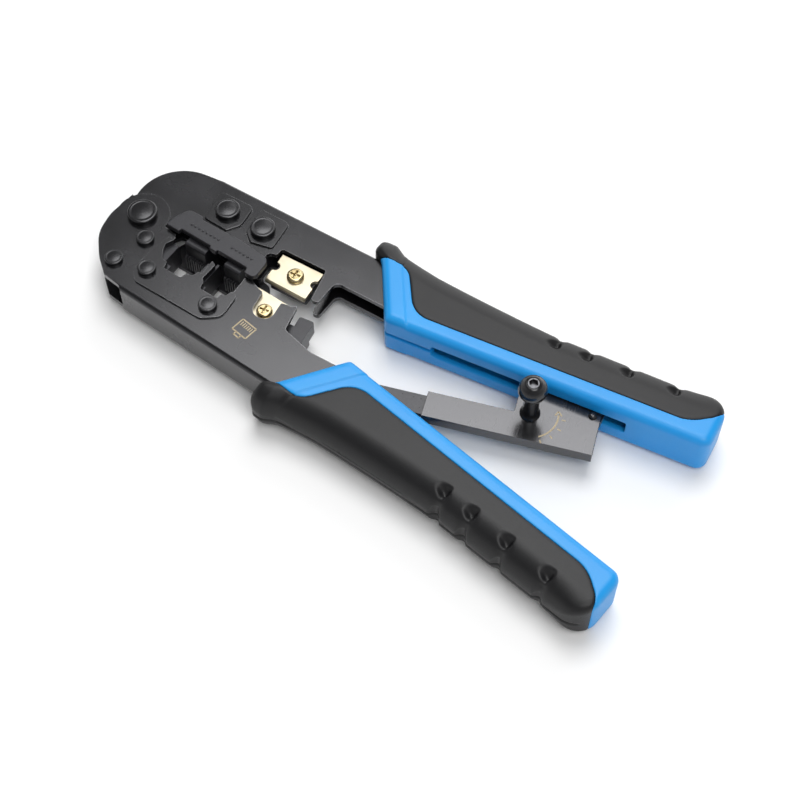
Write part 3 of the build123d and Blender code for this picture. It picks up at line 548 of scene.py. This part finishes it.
rivet_piece("pivot_rivet", [rivet_mesh((0, 0), 4.95, 3.0, 2.75, 15.25, 2.75, 2.2, 0.55)])
rivet_piece("punch_rivets", [
    rivet_mesh(spot, 4.15, 2.2, 3.8, 14.2, 2.0, 2.0, 0.5) for spot in ((24.0, 13.7), (38.0, 11.9))])
rivet_piece("die_rivets", [
    rivet_mesh(spot, 3.0, 1.6, 2.1, 15.9, 1.6, 1.6, 0.4)
    for spot in ((12.8, -19.1), (37.2, -23.2))])
rivet_piece("lobe_rivets", [
    rivet_mesh(spot, 3.0, 1.6, 2.8, 15.2, 1.6, 1.6, 0.4)
    for spot in ((5.9, -8.4), (0.9, -19.7))])

# %% [markdown]
# ## The release knob
#
# A screw passes through a small moulded knob into the pawl's shaft. The knob is
# the shape of a mushroom, so it can be turned with a thumb. It is spun from a
# profile of a flared foot, a slim neck and a rounded cap with a recess for the
# screw.

# %% Knob
knob_axis = centre_of("release_shaft")
cap = []
for step in range(15):
    turn = math.radians(-64 + 122 * step / 14)
    cap.append((1.55 + 3.0 * math.cos(turn), 24.3 + 3.35 * math.sin(turn)))
knob_profile = [(1.0, 19.0), (1.5, 19.0), (1.5, 11.25), (3.15, 11.25), (3.2, 11.4)]
knob_profile += [(3.0, 11.8), (2.75, 12.4), (2.6, 13.2), (2.5, 14.4), (2.45, 20.0), (2.6, 20.8)]
knob_profile += cap + [(2.75, 27.6), (2.45, 27.85), (2.15, 27.9), (2.0, 27.7)]
knob_profile += [(2.0, 25.8), (1.0, 25.8), (1.0, 19.0)]
rivet_piece("release_knob", [spun(knob_profile, knob_axis)])

# %% [markdown]
# ## Moulded handles
#
# The CAD model splits each handle into the hard core and the soft grip, with
# plain rounded corners. The real grip is crowned to fill the palm: its outer
# side is nearly a half round, it has thumb dimples that run into shallow
# grooves, and it swells into a horn that stops the hand. The copy is remeshed
# into small even cells and smoothed, so it can be sculpted by moving points: the
# collar's step first, then the dimples, the crown and the parting line. The core
# gets the same dimples, so it stays under the grip.

# %% Even cells and smoothing
CELL = 0.38                        # width of a cell, mm


def voxel_copy(node):
    """A CAD node's copy in even cells, smoothed, as a bmesh in millimetres."""
    mesh = merged_copy(node)
    data = bpy.data.meshes.new("part")
    mesh.to_mesh(data)
    mesh.free()
    holder = bpy.data.objects.new("part", data)
    bpy.context.scene.collection.objects.link(holder)
    remesh = holder.modifiers.new("cells", "REMESH")
    remesh.mode = "VOXEL"
    remesh.voxel_size = CELL * MM
    remesh.adaptivity = 0.0
    depsgraph = bpy.context.evaluated_depsgraph_get()
    result = bmesh.new()
    result.from_mesh(holder.evaluated_get(depsgraph).data)
    bpy.data.objects.remove(holder)
    bpy.data.meshes.remove(data)
    for _ in range(3):
        bmesh.ops.smooth_vert(result, verts=result.verts, factor=0.5, use_axis_x=True,
                              use_axis_y=True, use_axis_z=True)
    bmesh.ops.scale(result, vec=(1 / MM, 1 / MM, 1 / MM), verts=result.verts)
    return result


def blend_step(value, start, end):
    """Rises smoothly from 0 to 1 between start and end."""
    share = min(max((value - start) / (end - start), 0.0), 1.0)
    return share * share * (3 - 2 * share)


OUTER_SIDE = [(75.0, 26.4), (80.4, 26.0), (84.0, 23.5), (91.0, 21.7), (98.0, 20.2), (108.0, 18.8),
              (118.0, 17.6), (128.0, 16.5), (139.0, 15.5), (160.0, 15.0), (198.0, 14.4)]


def outer_side(x):
    """The handle's outer side at x."""
    for (x0, y0), (x1, y1) in zip(OUTER_SIDE, OUTER_SIDE[1:]):
        if x <= x1:
            return y0 + (y1 - y0) * max(x - x0, 0) / (x1 - x0)
    return OUTER_SIDE[-1][1]


CROWN = 8.5                        # radius that rounds the grip's outer side, mm
CROWN_SHARE = 0.9                  # how far round the side goes
CROWN_END = (182, 195)             # from here on the crown fades to half, mm


def crown(mesh):
    """Rounds the handle's outer side by drawing its height in."""
    for vert in mesh.verts:
        depth = outer_side(vert.co.x) - vert.co.y
        if depth < CROWN:
            drop = CROWN - math.sqrt(max(CROWN ** 2 - (CROWN - max(depth, 0)) ** 2, 0))
            drop *= 1 - 0.5 * blend_step(vert.co.x, *CROWN_END)
            share = (MID_Z - drop * CROWN_SHARE) / MID_Z
            vert.co.z = MID_Z + (vert.co.z - MID_Z) * share


DIMPLES = (142.3, 152.8, 166.3, 181.6)
DIMPLE_Y = 9.6
DIMPLE_SOFT = 4.2                  # reach on the head's side, mm
DIMPLE_STEEP = 1.5                 # reach on the far side
DIMPLE_HALF = 2.4                  # reach across the handle
DIMPLE_DEPTH = 1.9
GROOVE_DEPTH = 0.75
GROOVE_HALF = 1.5


def dimple(mesh):
    """Presses the thumb dimples and their grooves into both faces."""
    for vert in mesh.verts:
        side = abs(vert.co.z - MID_Z) / MID_Z
        if side < 0.45 or vert.co.y < 4:    # the dimples belong to the two faces only
            continue
        inward = -1 if vert.co.z > MID_Z else 1
        for x in DIMPLES:
            along = vert.co.x - x
            if abs(along) > 8:
                continue
            across = vert.co.y - DIMPLE_Y
            side_reach = DIMPLE_SOFT if along < 0 else DIMPLE_STEEP
            reach = math.hypot(along / side_reach, across / DIMPLE_HALF)
            bowl = 1 - blend_step(reach, 0.1, 1.0)
            groove = math.exp(-(along / GROOVE_HALF) ** 2) * blend_step(vert.co.y, 8.8, 11.5)
            vert.co.z += inward * (DIMPLE_DEPTH * bowl + GROOVE_DEPTH * groove)


SEAM_DEPTH = 0.5
NOTCH_DEPTH = 0.55


def seam(mesh):
    """Marks the parting line, and lets the grooves notch the outer side."""
    for vert in mesh.verts:
        depth = outer_side(vert.co.x) - vert.co.y
        if depth < 3:
            line = math.exp(-((vert.co.z - MID_Z + 1.0) / 0.45) ** 2)
            notch = sum(math.exp(-((vert.co.x - x) / 1.3) ** 2) for x in DIMPLES)
            fade = 1 - blend_step(depth, 1.5, 3.0)
            vert.co.y -= (SEAM_DEPTH * line + NOTCH_DEPTH * notch) * fade


# %% [markdown]
# The collar is a band at the core's front, a little thicker than the rest. Its
# edge is a straight line across the handle, so the distance from that line says
# how far each point is pushed out.

# %% Collar and twins
COLLAR_TOP = Vector((86.5, 14.8))
COLLAR_FOOT = Vector((97.3, -5.0))
COLLAR_STEP = 0.45


def collar(mesh):
    """Steps the front band out from the rest, on the core and on the grip."""
    run = (COLLAR_FOOT - COLLAR_TOP).normalized()
    normal = Vector((-run.y, run.x))
    for vert in mesh.verts:
        behind = (Vector((vert.co.x, vert.co.y)) - COLLAR_TOP).dot(normal)
        if vert.co.y > COLLAR_TOP.y:
            behind = vert.co.x - COLLAR_TOP.x + 0.2 * (vert.co.y - COLLAR_TOP.y)
        share = blend_step(behind, 0.0, 0.45)
        if abs(vert.co.z - MID_Z) > 5.5:
            vert.co.z -= math.copysign(COLLAR_STEP, vert.co.z - MID_Z) * share


def handle_piece(name, node, twin, finish, shaping):
    """Shapes a handle part from the upper half's node and places its twin."""
    mesh = voxel_copy(node)
    if twin:
        bmesh.ops.transform(mesh, matrix=TWIN.inverted(), verts=mesh.verts)
    for shape in shaping:
        shape(mesh)
    if twin:
        bmesh.ops.transform(mesh, matrix=TWIN, verts=mesh.verts)
    bmesh.ops.scale(mesh, vec=(MM, MM, MM), verts=mesh.verts)
    return make_piece(name, mesh, body_of_node[node], finish, [node])


handle_piece("upper_core_moulded", "upper_handle_core", False, blue, [collar, dimple, crown])
GRIP_SHAPES = [collar, dimple, crown, seam]
handle_piece("upper_grip_moulded", "upper_handle_grip", False, rubber, GRIP_SHAPES)
handle_piece("lower_core_moulded", "lower_handle_core", True, blue, [collar, dimple, crown])
handle_piece("lower_grip_moulded", "lower_handle_grip", True, rubber, GRIP_SHAPES)

# %% [markdown]
# ## Contact-count pips
#
# The cover says which nest takes which plug. Raised pips, one for each contact,
# do it without words: eight in a row, then six. Each pip is a low spun dome.

# %% Pips
PIP = [(0, 0.32), (0.2, 0.29), (0.36, 0.2), (0.46, 0.05), (0.5, -0.2), (0, -0.2)]
PIP_PITCH = 1.55
profile = [(radius, COVER_TOP + height) for radius, height in PIP]
pips = []
for first, count, across in ((17.2, 8, 4.4), (33.8, 6, 4.2)):
    for number in range(count):
        spot = turned_point((0, 0), DIE_ANGLE, first + number * PIP_PITCH, across)
        pips.append(spun(profile, spot, steps=20))
make_piece("contact_count_pips", joined(pips), "upper_frame", cast_steel)

# %% [markdown]
# ## Etched marks on the frame and the housing
#
# Two marks help the user without a word. A small outline of a plug stands beside
# the nests, and an arc with an arrow beside the knob shows which way it turns.
# Each stroke is a very thin bar, and the arc is a thin section swept part of the
# way round the knob's axis.

# %% Marks
MARK = 0.03                        # height of an etched stroke over the steel, mm
LINE = 0.45                        # widths of the strokes
FINE_LINE = 0.35


def stroke(mesh, start, end, width, level):
    """Adds a thin bar from one point to another, in millimetres."""
    run = Vector(end) - Vector(start)
    middle = (Vector(start) + Vector(end)) / 2
    place = Matrix.Translation((middle.x * MM, middle.y * MM, (level + MARK / 2) * MM))
    turn = Matrix.Rotation(math.atan2(run.y, run.x), 4, "Z")
    size = Matrix.Diagonal((run.length * MM, width * MM, MARK * MM, 1))
    bmesh.ops.create_cube(mesh, size=1.0, matrix=place @ turn @ size)


plug = bmesh.new()
PLUG_MARK = (51.4, -25.6)
PLUG_OUTLINE = [(-2.9, -2.4), (2.9, -2.4), (2.9, 2.4), (-2.9, 2.4), (-2.9, -2.4)]
strokes = [(start, end, LINE) for start, end in zip(PLUG_OUTLINE, PLUG_OUTLINE[1:])]
for contact in range(6):
    along = -2.0 + 0.8 * contact
    strokes.append(((along, 0.2), (along, 1.8), FINE_LINE))
for side in (-1.1, 1.1):
    strokes.append(((side, -2.4), (side, -3.6), LINE))
strokes.append(((-1.3, -3.6), (1.3, -3.6), LINE))
for start, end, width in strokes:
    stroke(plug, turned_point(PLUG_MARK, -OPEN_ANGLE, *start),
           turned_point(PLUG_MARK, -OPEN_ANGLE, *end), width, LOWER_TOP)
make_piece("plug_mark", plug, "lower_frame", etched)

turn_mark = bmesh.new()
section = [turn_mark.verts.new((radius * MM, 0, (HOUSING_TOP + height) * MM))
           for radius, height in ((8.5, 0), (9.0, 0), (9.0, MARK), (8.5, MARK))]
for index, corner in enumerate(section):
    turn_mark.edges.new((corner, section[index - 1]))
bmesh.ops.rotate(turn_mark, verts=turn_mark.verts, cent=(0, 0, 0),
                 matrix=Matrix.Rotation(math.radians(-50), 3, "Z"))
bmesh.ops.spin(turn_mark, geom=turn_mark.verts[:] + turn_mark.edges[:], axis=(0, 0, 1),
               cent=(0, 0, 0), angle=math.radians(70), steps=28, use_merge=False)
bmesh.ops.holes_fill(turn_mark, edges=turn_mark.edges)
bmesh.ops.recalc_face_normals(turn_mark, faces=turn_mark.faces)
bmesh.ops.translate(turn_mark, verts=turn_mark.verts,
                    vec=(knob_axis.x * MM, knob_axis.y * MM, 0))
knob_spot = (knob_axis.x, knob_axis.y)
tip = turned_point(knob_spot, math.radians(28), 8.75, 0)
for side in (7.7, 9.8):
    stroke(turn_mark, turned_point(knob_spot, math.radians(18), side, 0), tip, LINE, HOUSING_TOP)
for degrees in (-50, -30, -10, 10):
    angle = math.radians(degrees)
    stroke(turn_mark, turned_point(knob_spot, angle, 9.9, 0),
           turned_point(knob_spot, angle, 11.1, 0), 0.4, HOUSING_TOP)
make_piece("turn_mark", turn_mark, "housing", etched)

# %% [markdown]
# ## Floor, light and camera
#
# A white sweep under large soft lights shows dark steel well: the steel is dark
# because it reflects little, and its form shows in the broad reflections of the
# lights. One light stands behind, one is high on the near side, and a panel
# overhead lies where the plates near the handles mirror it into the lens. The
# lens is long, so the tool's lines stay nearly parallel.

# %% Floor
ground = bmesh.new()
bmesh.ops.create_grid(ground, x_segments=1, y_segments=1, size=6.0)
floor_data = bpy.data.meshes.new("floor")
ground.to_mesh(floor_data)
ground.free()
floor = bpy.data.objects.new("floor", floor_data)
bpy.context.scene.collection.objects.link(floor)
paper, tree = start_finish("white_sweep")
shader = add(tree, "ShaderNodeBsdfPrincipled", {"Base Color": (0.93, 0.93, 0.93, 1),
                                                "Roughness": 0.9})
add(tree, "ShaderNodeOutputMaterial", {"Surface": shader.outputs[0]})
floor_data.materials.append(paper)

# %% Lights
world = bpy.data.worlds.new("studio")
bpy.context.scene.world = world
world.use_nodes = True
sky = world.node_tree
toward = add(sky, "ShaderNodeTexCoord").outputs["Generated"]
height = add(sky, "ShaderNodeSeparateXYZ", {0: toward}).outputs["Z"]
glow = add(sky, "ShaderNodeMapRange", {"Value": height, "From Min": 0.0, "From Max": 0.6,
                                       "To Min": 0.95, "To Max": 0.17})
sky.links.new(glow.outputs[0], sky.nodes["Background"].inputs["Strength"])
sky.nodes["Background"].inputs["Color"].default_value = (1, 1, 1, 1)


LAMP_AIM = Vector((0.09, -0.02, 0.0))


def area_light(name, place, size, power):
    """A square soft light at a place, aimed at the tool, in metres."""
    lamp = bpy.data.lights.new(name, "AREA")
    lamp.shape = "SQUARE"
    lamp.size = size
    lamp.energy = power
    made = bpy.data.objects.new(name, lamp)
    bpy.context.scene.collection.objects.link(made)
    made.location = place
    aim = LAMP_AIM - Vector(place)
    made.rotation_euler = aim.to_track_quat("-Z", "Y").to_euler()


area_light("back", (0.05, 0.95, 0.5), 0.9, 4)
area_light("key", (0.45, -0.35, 1.0), 0.6, 5)
area_light("panel", (-0.02, 0.31, 1.0), 0.6, 6.5)

# %% Camera
lens = bpy.data.cameras.new("camera")
lens.lens = 72
lens.sensor_width = 36
camera = bpy.data.objects.new("camera", lens)
bpy.context.scene.collection.objects.link(camera)
camera.location = Vector((217.1, -260.3, 426.5)) * MM
toward = Vector((106.5, -28.3, 15.2)) * MM - camera.location
camera.rotation_euler = toward.to_track_quat("-Z", "Y").to_euler()
lens.clip_start = 0.01
bpy.context.scene.camera = camera
bpy.context.scene.view_settings.view_transform = "Standard"
print("camera distance:", round(toward.length, 3), "m")
